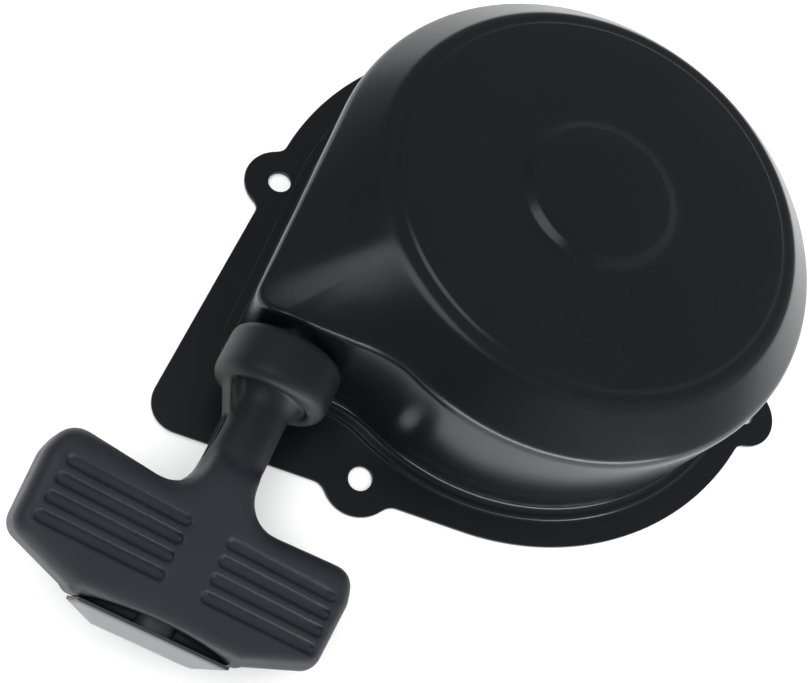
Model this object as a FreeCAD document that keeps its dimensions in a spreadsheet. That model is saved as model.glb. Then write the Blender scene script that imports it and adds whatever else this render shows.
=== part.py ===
import FreeCAD, Part
import math
import os
import Sketcher
from FreeCAD import Placement, Rotation, Vector

# Recoil starter for a small engine.  Millimetres, +Z up through the dome.  The origin is the reel
# axis on the mating face of the flange.  The rope pulls towards -Y, to the left of the axis.
# Cutters run 1 mm past the faces they open.

DRIVING = {
    # pressed steel housing; angles in degrees
    "steel": 1.6, "dome_radius": 87.3, "wall_draft": 4.1, "top_height": 61.7, "ramp_drop": 12.6,
    "ramp_run": 18.1, "step_width": 4.2, "step_rise": 0.6, "boss_radius": 25.8,
    "boss_crest": 23.0, "boss_rise": 1.8, "press_round": 2.0,
    "brow_round": 1.5,
    # snout: how far its front stays behind the dome's radius and its roof below the dome's top
    "snout_set_back": 8.3, "snout_lean": 2.5, "snout_corner": 9.0, "snout_blend": 40.0,
    "snout_drop": 16.2, "roof_depth": 12.8, "roof_aim": 55.0, "roof_blend": 28.0,
    "roof_left": 219.0, "roof_corner": 226.0, "roof_lap": 6.0,
    # flange with four ears, two on a line along X and two on a line along Y
    "flange_width": 12.7, "skirt_inset": 1.5, "skirt_slope": 6.3, "skirt_round": 12.0,
    "ear_radius": 12.5, "ear_throat": 2.5, "ear_hole_radius": 4.0, "side_ear_inset": 4.0,
    "side_ear_y": -12.0, "end_ear_inset": 2.0, "end_ear_x": -27.0,
    # rope
    "rope_radius": 2.25, "rope_gap": 0.3, "rope_turns": 4.0, "rope_inset": 22.3,
    "rope_height": 26.5, "rope_lead_radius": 8.0,
    # reel and its centre post
    "post_radius": 8.0, "bush_wall": 1.95, "hub_radius": 18.0, "reel_rim": 6.0,
    "groove_play": 0.6, "reel_wall": 2.3, "web_depth": 3.9, "hub_shelf_radius": 36.0,
    "post_neck_radius": 5.0, "post_thread_radius": 4.0, "post_collar_radius": 13.0,
    "post_head_radius": 16.0, "post_head": 1.6, "post_collar": 2.0,
    # clearances
    "running_fit": 0.05, "running_gap": 0.3, "seat_gap": 0.35, "shelf_gap": 3.0,
    # recoil spring and its keeper
    "spring_strip": 0.6, "spring_width": 16.0, "spring_turns": 11.0, "spring_inner": 20.0,
    "hook_length": 3.6, "keeper_wall": 1.2, "keeper_mouth_radius": 26.0, "keeper_gap": 1.0,
    # starting pawls, friction plate, washers and nut
    "pawl_pivot": 22.0, "pawl_stud_radius": 2.5, "pawl_root_radius": 4.75,
    "pawl_thickness": 4.7, "pawl_length": 26.0, "pawl_tip_width": 4.8, "pawl_heel": 9.0, "pawl_waist": 1.7,
    "pawl_tip_lean": 1.0,
    "pawl_rest": 105.0, "pawl_swing": 40.0, "lug_radius": 1.5, "lug_reach": 13.0,
    "plate_radius": 34.5, "plate_thickness": 1.6, "plate_gap": 0.6, "plate_turn": 30.0,
    "friction_coil": 3.4, "friction_wire": 0.9, "friction_split": 10.0, "washer_radius": 14.0,
    "washer_thickness": 1.7,
    "nut_flats": 13.0, "nut_height": 5.0, "thread_stands_out": 0.5,
    # rope guide in the front wall
    "guide_bore": 3.6, "guide_wall": 1.6, "guide_lip": 2.4, "guide_lip_depth": 1.8,
    # handle: collar and stem
    "collar_radius": 18.0, "collar_length": 17.4, "collar_wall": 5.0, "collar_hollow": 8.0,
    "collar_taper": 2.0, "collar_round": 4.2, "collar_back_round": 2.5, "collar_recess": 2.6,
    "collar_web": 9.0, "web_inset": 1.0, "stem_radius": 9.0, "stem_flare": 2.2,
    "stem_flare_length": 5.0, "stem_length": 35.2,
    # handle: bar with its slots, core, cap and knot
    "grip_depth": 34.5, "grip_half": 47.5, "grip_thickness": 20.5, "grip_rake": 3.8,
    "grip_end_depth": 27.3, "grip_end_cut": 9.0, "grip_end_taper": 2.0, "grip_slope": 23.5,
    "grip_corner": 6.0, "grip_neck": 10.0, "neck_length": 14.0, "neck_inset": 1.0,
    "grip_edge": 5.0, "grip_turn": 17.0,
    "slot_count": 4.0, "slot_width": 2.9, "slot_pitch": 5.1, "slot_depth": 1.3,
    "slot_start": 7.0, "slot_length": 33.5, "slot_row": 7.2,
    "core_inset": 15.5, "core_section": 8.0, "core_set_back": 11.5,
    "cap_half": 22.0, "cap_gap": 0.8, "cap_thickness": 4.0, "cap_height": 15.0,
    "cap_slant": 8.0, "cap_bevel": 4.5, "cap_lip": 0.8, "plug_length": 4.3,
    "rear_hollow": 2.2, "rear_rib": 7.0,
    "knot_radius": 4.4, "knot_sunk": 0.9, "knot_room": 6.5, "washer_play": 0.5, "bore_play": 0.55,
}

# Sizes that follow from the driving ones, as spreadsheet formulas.
DERIVED = {
    "shoulder_height": "Sizes.top_height - Sizes.ramp_drop",
    "snout_height": "Sizes.top_height - Sizes.snout_drop",
    "snout_front": "Sizes.dome_radius - Sizes.snout_set_back",
    "top_radius": "Sizes.dome_radius - Sizes.ramp_run",
    "step_radius": "Fits.top_radius - Sizes.step_width",
    "flange_radius": "Sizes.dome_radius + Sizes.flange_width",
    "skirt_left": "Fits.flange_radius - Sizes.skirt_inset",
    "side_ear_reach": "Fits.flange_radius - Sizes.side_ear_inset",
    "end_ear_reach": "Fits.flange_radius - Sizes.end_ear_inset",
    "rope_line_x": "Sizes.dome_radius - Sizes.rope_inset",
    "reel_radius": "Fits.rope_line_x + Sizes.reel_rim",
    "spring_outer": "Fits.rope_line_x - Sizes.reel_rim",
    "dome_under": "Sizes.top_height + Sizes.step_rise - Sizes.steel",
    "boss_under": "Fits.dome_under + Sizes.boss_rise",
    "groove_half": "Sizes.rope_radius + Sizes.rope_gap + Sizes.groove_play",
    "winding_pitch": "2 * Sizes.rope_radius + Sizes.rope_gap",
    "winding_inner": "Fits.rope_line_x - Sizes.rope_turns * Fits.winding_pitch",
    "groove_radius": "Fits.winding_inner - Sizes.rope_radius - Sizes.rope_gap",
    "reel_low": "Sizes.rope_height - Fits.groove_half - Sizes.reel_wall",
    "reel_high": "Sizes.rope_height + Fits.groove_half + Sizes.reel_wall",
    "reel_bottom": "Fits.reel_low - Sizes.web_depth",
    "reel_bore": "Sizes.post_radius + Sizes.running_fit + Sizes.bush_wall",
    "post_collar_bottom": "Fits.boss_under - Sizes.post_head - Sizes.post_collar",
    "hub_top": "Fits.post_collar_bottom - Sizes.running_gap",
    "spring_top": "Fits.dome_under - Sizes.keeper_wall - Sizes.keeper_gap",
    "spring_bottom": "Fits.spring_top - Sizes.spring_width",
    "keeper_inner": "Fits.spring_outer + Sizes.spring_strip / 2 + Sizes.keeper_gap",
    "keeper_outer": "Fits.keeper_inner + Sizes.keeper_wall",
    "shelf_top": "Fits.spring_bottom - Sizes.shelf_gap",
    "shoulder_low": "Fits.reel_bottom - Sizes.running_gap",
    "pawl_top": "Fits.reel_bottom - Sizes.seat_gap",
    "pawl_bottom": "Fits.pawl_top - Sizes.pawl_thickness",
    "plate_top": "Fits.pawl_bottom - Sizes.plate_gap",
    "plate_bottom": "Fits.plate_top - Sizes.plate_thickness",
    "brake_top": "Fits.plate_bottom - Sizes.running_gap",
    "brake_bottom": "Fits.brake_top - Sizes.washer_thickness",
    "nut_bottom": "Fits.brake_bottom - Sizes.nut_height",
    "thread_bottom": "Fits.nut_bottom - Sizes.thread_stands_out",
    "collar_back": "Fits.snout_front + Sizes.running_gap",
    "collar_front": "Fits.collar_back + Sizes.collar_length",
    "grip_front": "Fits.collar_front + Sizes.stem_length",
    "grip_back": "Fits.grip_front + Sizes.grip_depth",
    "slot_end": "Sizes.slot_start + Sizes.slot_length",
    "grip_shoulder": "Sizes.grip_half - Sizes.grip_slope",
    "core_half": "Sizes.grip_half - Sizes.core_inset",
    "core_front": "Fits.grip_front + Sizes.core_set_back",
    "core_back": "Fits.core_front + Sizes.core_section",
    "rope_bore": "Sizes.rope_radius + Sizes.bore_play",
}

# How near a point lies to a line or face that it belongs to, and how far gaps are sewn shut.
TOUCH = 0.01
SEWN = 0.001

doc = FreeCAD.newDocument("RecoilStarter")


def fill_sheet(name, cells):
    """A spreadsheet with one named cell to a row."""
    sheet = doc.addObject("Spreadsheet::Sheet", name)
    for row, (alias, content) in enumerate(cells.items(), 1):
        sheet.set(f"A{row}", alias)
        sheet.set(f"B{row}", str(content))
        sheet.setAlias(f"B{row}", alias)
    doc.recompute()
    return sheet


sizes = fill_sheet("Sizes", DRIVING)
fits = fill_sheet("Fits", {name: "=" + text.replace("Fits.", "") for name, text in DERIVED.items()})

NODES = []


def value(name):
    """The number in the cell with this alias, from either sheet."""
    return float(getattr(sizes if name in DRIVING else fits, name))


def cell(name):
    """The expression that names this cell."""
    return ("Sizes." if name in DRIVING else "Fits.") + name


def formula(text):
    """An expression in which bare cell names become references to their sheet."""
    words = []
    for word in text.split():
        words.append(cell(word) if word in DRIVING or word in DERIVED else word)
    return " ".join(words)


def node(thing, label):
    thing.Label = label
    NODES.append(thing)
    return thing


def bind(thing, **places):
    for prop, text in places.items():
        thing.setExpression(prop.replace("__", "."), formula(text))
    return thing


def closed_sketch(body, plane, corners):
    """A closed outline on an origin plane, each corner tied to the sheet in both directions."""
    sketch = body.newObject("Sketcher::SketchObject", body.Name + "Outline")
    plane_of = {part.Role: part for part in body.Origin.OriginFeatures}
    sketch.AttachmentSupport = [(plane_of[plane], "")]
    sketch.MapMode = "FlatFace"
    guess = [Vector(2 * index, index * index, 0) for index in range(len(corners))]
    for index, start in enumerate(guess):
        end = guess[(index + 1) % len(guess)]
        sketch.addGeometry(Part.LineSegment(start, end), False)
    for index in range(len(corners)):
        after = (index + 1) % len(corners)
        sketch.addConstraint(Sketcher.Constraint("Coincident", index, 2, after, 1))
    for index, pair in enumerate(corners):
        for way, text in zip(("DistanceX", "DistanceY"), pair):
            number = sketch.addConstraint(Sketcher.Constraint(way, -1, 1, index, 1, 1.0))
            sketch.setExpression(f"Constraints[{number}]", formula(text))
    return sketch


def turned(name, corners):
    """A turned piece: its half section, as (radius, height) corners, swept round the Z axis."""
    body = doc.addObject("PartDesign::Body", name)
    sketch = closed_sketch(body, "XZ_Plane", corners)
    turn = body.newObject("PartDesign::Revolution", name + "Turn")
    turn.Profile = sketch
    turn.ReferenceAxis = (sketch, ["V_Axis"])
    turn.Angle = 360
    doc.recompute()
    return body


def cylinder(name, radius, bottom, top, spot=("0", "0")):
    thing = doc.addObject("Part::Cylinder", name)
    bind(thing, Radius=radius, Height=f"( {top} ) - ( {bottom} )", Placement__Base__z=bottom)
    return bind(thing, Placement__Base__x=spot[0], Placement__Base__y=spot[1])


def block(name, low, high):
    thing = doc.addObject("Part::Box", name)
    for axis, side, start, stop in zip("xyz", ("Length", "Width", "Height"), low, high):
        thing.setExpression(f"Placement.Base.{axis}", formula(start))
        thing.setExpression(side, formula(f"( {stop} ) - ( {start} )"))
    return thing


def shaped(name, shape, seat=Placement()):
    """A piece whose shape comes from Part's own functions, moved to its seat."""
    thing = doc.addObject("Part::Feature", name)
    thing.Shape = shape
    thing.Placement = seat.multiply(shape.Placement)
    return thing


def fuse(name, things):
    thing = doc.addObject("Part::MultiFuse", name)
    thing.Shapes = things
    return thing


def cut(name, base, tools):
    thing = doc.addObject("Part::Cut", name)
    thing.Base = base
    thing.Tool = tools[0] if len(tools) == 1 else fuse(name + "Tools", tools)
    return thing


def polar(radius, degrees, height=0.0):
    angle = math.radians(degrees)
    return Vector(radius * math.cos(angle), radius * math.sin(angle), height)


def arc(centre, radius, start, stop, height):
    """The arc about centre from one direction to another, in degrees."""
    middle = (start + stop) / 2
    lift = Vector(0, 0, height)
    points = [centre + polar(radius, angle) + lift for angle in (start, middle, stop)]
    return Part.Arc(*points).toShape()


def line(start, stop):
    return Part.LineSegment(start, stop).toShape()


def tube(edges, radius):
    """A round rod that follows edges which run on from one to the next."""
    path = Part.Wire(edges)
    first = edges[0]
    start = first.valueAt(first.FirstParameter)
    ring = Part.Circle(start, first.tangentAt(first.FirstParameter), radius).toShape()
    return path.makePipeShell([Part.Wire([ring])], True, True)


# ---------------------------------------------------------------- housing

def snout_outline(radius, front, corner, blend, height):
    """Plan outline of the dome with its snout, as five edges, counterclockwise.

    The round wall leaves the circle on the left, runs down a leaning straight wall, turns a
    rounded corner, follows the front wall and joins the circle again through a hollow blend.
    """
    lean = value("snout_lean")
    lift = Vector(0, 0, height)
    leave = polar(radius, 180 + lean)
    inward = Vector(math.cos(math.radians(lean)), math.sin(math.radians(lean)), 0)
    corner_y = -front + corner
    corner_x = leave.x + (corner - (corner_y - leave.y) * inward.y) / inward.x
    centre = Vector(corner_x, corner_y, 0)
    blend_y = -front - blend
    blend_x = -math.sqrt((radius + blend) ** 2 - blend_y ** 2)
    blend_centre = Vector(blend_x, blend_y, 0)
    join = math.degrees(math.atan2(blend_y, blend_x)) % 360
    return [
        arc(Vector(), radius, join - 360, 180 + lean, height),
        line(leave + lift, centre - inward * corner + lift),
        arc(centre, corner, 180 + lean, 270, height),
        line(Vector(corner_x, -front, height), Vector(blend_x, -front, height)),
        arc(blend_centre, blend, 90, join - 180, height),
    ]


def between(low, high):
    """The solid with straight walls from one closed outline up to another of as many edges."""
    walls = [Part.makeRuledSurface(one, other) for one, other in zip(low, high)]
    ends = [Part.Face(Part.Wire(edges)) for edges in (low, high)]
    solid = Part.makeSolid(Part.makeShell(walls + ends))
    solid.fix(SEWN, SEWN, SEWN)
    return solid


def snout_block(inset):
    """The dome's body, moved in by the sheet's thickness for the inner side."""
    draft = math.tan(math.radians(value("wall_draft")))
    radius = value("dome_radius") - inset
    front = value("snout_front") - inset
    top = value("top_height") - inset
    tall = value("top_height") + value("steel")

    def level(height):
        step = height * draft
        return snout_outline(radius - step, front - step, value("snout_corner") - inset - step,
                             value("snout_blend") + inset + step, height)

    walls = between(level(0), level(tall))
    shoulder = value("shoulder_height")
    shoulder_radius = value("dome_radius") - shoulder * draft
    slope = (shoulder_radius - value("top_radius")) / (value("top_height") - shoulder)
    drop = inset * math.sqrt(1 + slope * slope) / slope
    foot = shoulder - value("roof_depth")
    foot_radius = shoulder_radius + (shoulder - foot) * slope
    top_y = value("top_radius") * math.sin(math.radians(value("roof_aim")))
    wall_y = value("snout_front") - value("snout_height") * draft
    rise = value("top_height") - foot
    foot_front = top_y + (wall_y - top_y) * rise / (value("top_height") - value("snout_height"))
    low = snout_outline(foot_radius, foot_front, 2 * value("snout_corner"),
                        value("roof_blend"), foot)
    join = math.degrees(low[0].valueAt(low[0].FirstParameter).getAngle(Vector(-1, 0, 0))) + 180
    turns = (join - 360, 180 + value("snout_lean"), value("roof_left"), value("roof_corner"),
             join - value("roof_lap"), join)
    high = [arc(Vector(), value("top_radius"), start, stop, value("top_height"))
            for start, stop in zip(turns, turns[1:])]
    roof = between(low, high)
    roof.translate(Vector(0, 0, -drop))
    reach = 2 * value("dome_radius")
    above = Part.makeBox(2 * reach, 2 * reach, tall, Vector(-reach, -reach, foot - drop))
    body = walls.cut(above.cut(roof))
    if inset:
        body = body.cut(Part.makeBox(2 * reach, 2 * reach, tall, Vector(-reach, -reach, top)))
    return body


def edges_at(shape, test):
    """The edges whose every sampled point passes the test."""
    found = []
    for edge in shape.Edges:
        span = edge.LastParameter - edge.FirstParameter
        spots = [edge.valueAt(edge.FirstParameter + span * part) for part in (0.1, 0.5, 0.9)]
        if all(test(spot) for spot in spots):
            found.append(edge)
    return found


def housing_plate():
    """The flange with its ears and the square skirt under the snout, before the holes."""
    steel = value("steel")
    radius = value("flange_radius")
    left = -value("skirt_left")
    slope = math.radians(value("skirt_slope"))
    touch = polar(radius, 270 + value("skirt_slope"))
    corner = Vector(left, touch.y - (touch.x - left) * math.tan(slope), 0)
    ring = [Vector(left, value("side_ear_y"), 0), corner, touch, Vector()]
    skirt = Part.Face(Part.makePolygon(ring + ring[:1])).extrude(Vector(0, 0, steel))
    plate = Part.makeCylinder(radius, steel).fuse([skirt] + [
        Part.makeCylinder(value("ear_radius"), steel, spot) for spot in ear_spots()])
    plate = plate.removeSplitter()
    tip = edges_at(plate, lambda spot: math.hypot(spot.x - corner.x, spot.y - corner.y) < TOUCH)
    plate = plate.makeFillet(value("skirt_round"), tip)
    throats = []
    for ear in ear_spots():
        throats += edges_at(plate, lambda spot: 0 < spot.z < steel and
                            abs(spot.distanceToPoint(Vector(ear.x, ear.y, spot.z)) -
                                value("ear_radius")) < TOUCH)
    upright = [edge for edge in throats if abs(edge.tangentAt(edge.FirstParameter).z) > 0.9]
    return plate.makeFillet(value("ear_throat"), upright)


def ear_spots():
    side = value("side_ear_reach")
    end = value("end_ear_reach")
    return [Vector(-side, value("side_ear_y"), 0), Vector(side, value("side_ear_y"), 0),
            Vector(value("end_ear_x"), -end, 0), Vector(value("end_ear_x"), end, 0)]


def housing_shell():
    """One pressing: dome, snout, raised boss and flange, hollow at an even sheet thickness."""
    steel = value("steel")
    top = value("top_height")
    high = top + value("step_rise")
    crest_gap = value("boss_radius") - value("boss_crest")

    def crown(inset):
        """The raised disc and boss on the flat top, moved in by the sheet's thickness."""
        radius = value("step_radius") - inset
        rise = value("step_rise")
        disc = Part.makeCone(radius, radius - rise, rise + 1, Vector(0, 0, top - inset - 1))
        foot = value("boss_radius") - inset
        boss = Part.makeCone(foot + crest_gap, foot - crest_gap, value("boss_rise") * 2,
                             Vector(0, 0, high - inset - value("boss_rise")))
        return disc.fuse(boss)

    outer = snout_block(0)
    shoulder = edges_at(outer, lambda spot: 2 * steel < spot.z < top - 1)
    outer = outer.makeFillet(value("press_round"), shoulder)
    rim = edges_at(outer, lambda spot: abs(spot.z - top) < TOUCH)
    outer = outer.makeFillet(value("brow_round"), rim).fuse(crown(0))
    shell = housing_plate().fuse(outer).removeSplitter()
    root = edges_at(shell, lambda spot: abs(spot.z - steel) < TOUCH and inside_flange(spot))
    shell = shell.makeFillet(value("press_round"), root)
    shell = shell.cut(snout_block(steel)).cut(crown(steel))
    for spot in ear_spots():
        hole = Part.makeCylinder(value("ear_hole_radius"), 3 * steel, spot - Vector(0, 0, steel))
        shell = shell.cut(hole)
    return shell.cut(guide_space(value("guide_bore") + value("guide_wall")))


def inside_flange(spot):
    """True over the dome's foot, away from the flange's own edge."""
    reach = value("dome_radius") + value("press_round")
    front = value("snout_front") + value("press_round")
    in_snout = -reach < spot.x < 0 and -front < spot.y < 0
    return in_snout or math.hypot(spot.x, spot.y) < reach


def guide_space(radius):
    """A round bar along the rope guide's axis, square to the leaning front wall."""
    reach = value("collar_radius")
    bar = Part.makeCylinder(radius, 2 * reach, Vector(0, 0, -reach))
    bar.Placement = guide_seat()
    return bar


def guide_seat():
    """The place of the rope guide: on the wall's outer face, its axis outwards along Z."""
    lean = value("wall_draft")
    wall_y = -value("snout_front") + value("rope_height") * math.tan(math.radians(lean))
    spot = Vector(-value("rope_line_x"), wall_y, value("rope_height"))
    return Placement(spot, Rotation(Vector(1, 0, 0), 90 - lean))


node(shaped("Housing", housing_shell()), "housing_shell")

node(turned("Post", [
    ("0", "thread_bottom"), ("post_thread_radius", "thread_bottom"),
    ("post_thread_radius", "brake_top"), ("post_neck_radius", "brake_top"),
    ("post_neck_radius", "shoulder_low"), ("post_radius", "shoulder_low"),
    ("post_radius", "post_collar_bottom"), ("post_collar_radius", "post_collar_bottom"),
    ("post_collar_radius", "boss_under - post_head"),
    ("post_head_radius", "boss_under - post_head"),
    ("post_head_radius", "boss_under"), ("0", "boss_under"),
]), "centre_post")

guide = turned("Guide", [
    ("guide_bore", "0 - steel - guide_lip_depth"),
    ("guide_bore + guide_wall + guide_lip", "0 - steel - guide_lip_depth"),
    ("guide_bore + guide_wall + guide_lip", "0 - steel"),
    ("guide_bore + guide_wall", "0 - steel"), ("guide_bore + guide_wall", "0"),
    ("guide_bore + guide_wall + guide_lip", "0"),
    ("guide_bore + guide_wall + guide_lip", "guide_lip_depth"),
    ("guide_bore", "guide_lip_depth"),
])
guide.Placement = guide_seat()
node(guide, "rope_guide")

keeper = turned("Keeper", [
    ("keeper_mouth_radius", "dome_under"), ("keeper_outer", "dome_under"),
    ("keeper_outer", "spring_bottom - keeper_gap"), ("keeper_inner", "spring_bottom - keeper_gap"),
    ("keeper_inner", "dome_under - keeper_wall"),
    ("keeper_mouth_radius", "dome_under - keeper_wall"),
])
keeper_slot = block("KeeperSlot", ("keeper_inner - 1", "0 - spring_strip - running_gap",
                                   "spring_bottom - keeper_gap"),
                    ("keeper_outer + 1", "running_gap", "spring_top + running_gap"))
node(cut("KeeperCup", keeper, [keeper_slot]), "spring_keeper")


def mainspring():
    """A flat strip wound clockwise outwards in half turns, with a straight hook at each end."""
    thick = value("spring_strip")
    inner = value("spring_inner")
    halves = round(2 * value("spring_turns"))
    step = (value("spring_outer") - inner) / halves
    sides = []
    for side in (-thick / 2, thick / 2):
        edges = []
        for half in range(halves):
            radius = inner + step * (half + 0.5) + side
            shift = -step / 2 if half % 2 == 0 else step / 2
            edges.append(arc(Vector(shift, 0, 0), radius, -180 * half, -180 * half - 180, 0))
        sides.append(edges)
    starts = [edges[0].valueAt(edges[0].FirstParameter) for edges in sides]
    stops = [edges[-1].valueAt(edges[-1].LastParameter) for edges in sides]
    ends = [line(*starts), line(*stops)]
    coil = Part.Face(Part.Wire(Part.__sortEdges__(sides[0] + sides[1] + ends)))
    hook = value("hook_length")
    width = value("spring_width")
    inner_hook = Vector(min(spot.x for spot in starts) - hook + thick, 0, 0)
    outer_hook = Vector(max(spot.x for spot in stops) - thick, -thick, 0)
    hooks = [Part.makeBox(hook, thick, width, corner) for corner in (inner_hook, outer_hook)]
    spring = coil.extrude(Vector(0, 0, width)).fuse(hooks).removeSplitter()
    spring.translate(Vector(0, 0, value("spring_bottom")))
    return spring


node(shaped("Mainspring", mainspring()), "mainspring")

# ---------------------------------------------------------------- reel

reel_blank = turned("ReelBlank", [
    ("reel_bore", "reel_bottom"), ("groove_radius", "reel_bottom"),
    ("groove_radius + web_depth / 2", "reel_low"), ("reel_radius", "reel_low"),
    ("reel_radius", "reel_low + reel_wall"),
    ("groove_radius", "reel_low + reel_wall + groove_play / 2"),
    ("groove_radius", "reel_high - reel_wall - groove_play / 2"),
    ("reel_radius", "reel_high - reel_wall"), ("reel_radius", "reel_high"),
    ("hub_shelf_radius + web_depth", "reel_high"), ("hub_shelf_radius", "shelf_top"),
    ("hub_radius", "shelf_top"), ("hub_radius", "hub_top"), ("reel_bore", "hub_top"),
])


def rope_lead():
    """The bend that brings the rope from its knot into the groove."""
    bend = value("rope_lead_radius")
    centre = Vector(bend - value("winding_inner"), 0, 0)
    return [arc(centre, bend, 90, 180, value("rope_height"))]


def rope_turns():
    """The rope in the groove: half turns that grow out to the rope line."""
    step = value("winding_pitch") / 2
    edges = []
    for half in range(round(2 * value("rope_turns"))):
        radius = value("winding_inner") + step * (half + 0.5)
        shift = step / 2 if half % 2 == 0 else -step / 2
        start = 180 + 180 * half
        edges.append(arc(Vector(shift, 0, 0), radius, start, start + 180, value("rope_height")))
    return edges


def knot_spot():
    """The centre of the knot that holds the rope in the reel, its end just inside the knot."""
    bend = value("rope_lead_radius")
    inset = value("knot_radius") - value("knot_sunk")
    return Vector(-value("winding_inner") + bend + inset, bend, value("rope_height"))


def ball(spot, radius):
    return Part.makeSphere(radius, spot)


knot_room = shaped("ReelKnotRoom", Part.makeCylinder(
    value("knot_radius") + value("running_gap"), value("shelf_top"),
    knot_spot() - Vector(0, 0, value("knot_radius") + value("running_gap"))))
lead_room = shaped("ReelLeadRoom", tube(rope_lead(), value("rope_radius") + value("rope_gap")))
stud_holes = []
for number, way in enumerate(("", "0 - "), 1):
    stud_holes.append(cylinder(f"StudHole{number}", "pawl_stud_radius", "reel_bottom - 1",
                               "reel_low", (way + "pawl_pivot", "0")))
arbor_slot = block("ArborSlot", ("hub_radius - hook_length", "0 - running_gap",
                                 "spring_bottom - running_gap"),
                   ("hub_radius + 1", "spring_strip + running_gap", "hub_top + 1"))
node(cut("Reel", reel_blank, [knot_room, lead_room, arbor_slot] + stud_holes), "reel")

node(turned("Bush", [
    ("post_radius + running_fit", "reel_bottom"), ("reel_bore", "reel_bottom"),
    ("reel_bore", "hub_top"), ("post_radius + running_fit", "hub_top"),
]), "reel_bush")

winding = tube(rope_lead() + rope_turns(), value("rope_radius"))
node(shaped("Winding", winding.cut(ball(knot_spot(), value("knot_radius")))), "rope_winding")
node(shaped("ReelKnot", ball(knot_spot(), value("knot_radius"))), "reel_knot")

stud_pair = []
for number, way in enumerate(("", "0 - "), 1):
    stud_pair.append(cylinder(f"Stud{number}", "pawl_stud_radius", "pawl_bottom", "reel_low",
                              (way + "pawl_pivot", "0")))
node(fuse("Studs", stud_pair), "pawl_studs")

# ---------------------------------------------------------------- pawls and friction plate


def capsule(start, stop, radius, bottom, thickness):
    """A flat link with round ends."""
    along = (stop - start).normalize()
    side = Vector(-along.y, along.x, 0) * radius
    lift = Vector(0, 0, bottom)
    edges = [
        line(start - side + lift, stop - side + lift),
        Part.Arc(stop - side + lift, stop + along * radius + lift, stop + side + lift).toShape(),
        line(stop + side + lift, start + side + lift),
        Part.Arc(start + side + lift, start - along * radius + lift, start - side + lift).toShape(),
    ]
    return Part.Face(Part.Wire(edges)).extrude(Vector(0, 0, thickness))


def pawl(turn):
    """A steel pawl folded inwards: round root on its stud, tapering arm, square tip and lug."""
    bottom = value("pawl_bottom")
    thick = value("pawl_thickness")
    root = Vector(value("pawl_pivot"), 0, 0)
    ahead = polar(1, value("pawl_rest"))
    across = Vector(ahead.y, -ahead.x, 0)
    reach = value("pawl_length")
    root_radius = value("pawl_root_radius")
    tip = root_radius - value("plate_gap")
    waist = root_radius - value("pawl_waist")
    corners = [root + across * root_radius, root + ahead * reach + across * tip,
               root + ahead * (reach - value("pawl_tip_lean")) + across * (tip - value("pawl_tip_width")),
               root + ahead * (reach - value("pawl_heel")) - across * waist,
               root - across * root_radius]
    corners = [spot + Vector(0, 0, bottom) for spot in corners]
    arm = Part.Face(Part.makePolygon(corners + corners[:1])).extrude(Vector(0, 0, thick))
    body = arm.fuse(Part.makeCylinder(root_radius, thick, root + Vector(0, 0, bottom)))
    lug_spot = root + ahead * value("lug_reach") + Vector(0, 0, value("plate_bottom"))
    body = body.fuse(Part.makeCylinder(value("lug_radius"), bottom - value("plate_bottom"), lug_spot))
    bore = value("pawl_stud_radius") + value("running_fit")
    body = body.cut(Part.makeCylinder(bore, 3 * thick, root + Vector(0, 0, bottom - thick)))
    body = body.removeSplitter()
    body.rotate(Vector(), Vector(0, 0, 1), turn)
    return body


for number, turn in enumerate((0, 180), 1):
    node(shaped(f"Pawl{number}", pawl(turn)), f"pawl_{number}")


def lug_in_plate(part):
    """Where a pawl's lug lies in the friction plate after this part of the whole turn."""
    lug = Vector(value("pawl_pivot"), 0, 0)
    lug += polar(value("lug_reach"), value("pawl_rest") - part * value("pawl_swing"))
    turn = math.degrees(math.atan2(lug.y, lug.x)) + part * value("plate_turn")
    return polar(lug.Length, turn)


def friction_plate():
    """A flat disc on the post's neck with one cam slot for each pawl's lug."""
    bottom = value("plate_bottom")
    thick = value("plate_thickness")
    plate = Part.makeCylinder(value("plate_radius"), thick, Vector(0, 0, bottom))
    bore = value("post_neck_radius") + value("running_gap")
    plate = plate.cut(Part.makeCylinder(bore, 3 * thick, Vector(0, 0, bottom - thick)))
    width = value("lug_radius") + value("seat_gap")
    spots = [lug_in_plate(part) for part in (0, 0.25, 0.5, 0.75, 1)]
    for start, stop in zip(spots, spots[1:]):
        for turn in (0, 180):
            slot = capsule(start, stop, width, bottom - 1, thick + 2)
            slot.rotate(Vector(), Vector(0, 0, 1), turn)
            plate = plate.cut(slot)
    return plate.removeSplitter()


node(shaped("FrictionPlate", friction_plate()), "friction_plate")


def washer(name, bore, outer, bottom, top):
    return turned(name, [(bore, bottom), (outer, bottom), (outer, top), (bore, top)])


node(washer("ThrustWasher", "post_neck_radius", "washer_radius",
            "shoulder_low - washer_thickness", "shoulder_low"), "thrust_washer")
node(washer("BrakeWasher", "post_thread_radius", "washer_radius",
            "brake_bottom", "brake_top"), "brake_washer")


def friction_spring():
    """A split spring ring of round wire that presses the friction plate down, eased up at its ends."""
    wire = value("friction_wire")
    top = value("shoulder_low") - value("washer_thickness")
    low = value("plate_top") + value("running_gap")
    radius = value("post_neck_radius") + value("friction_coil")
    rise = math.degrees(math.atan2(top - low - wire, 2 * radius))
    tilt = Placement(Vector(0, 0, (top + low) / 2), Rotation(Vector(1, 0, 0), rise))
    ring = Part.makeTorus(radius, wire / 2, Vector(), Vector(0, 0, 1), 0, 360,
                          360 - value("friction_split"))
    ring.Placement = tilt
    return ring


node(shaped("FrictionSpring", friction_spring()), "friction_spring")

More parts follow.
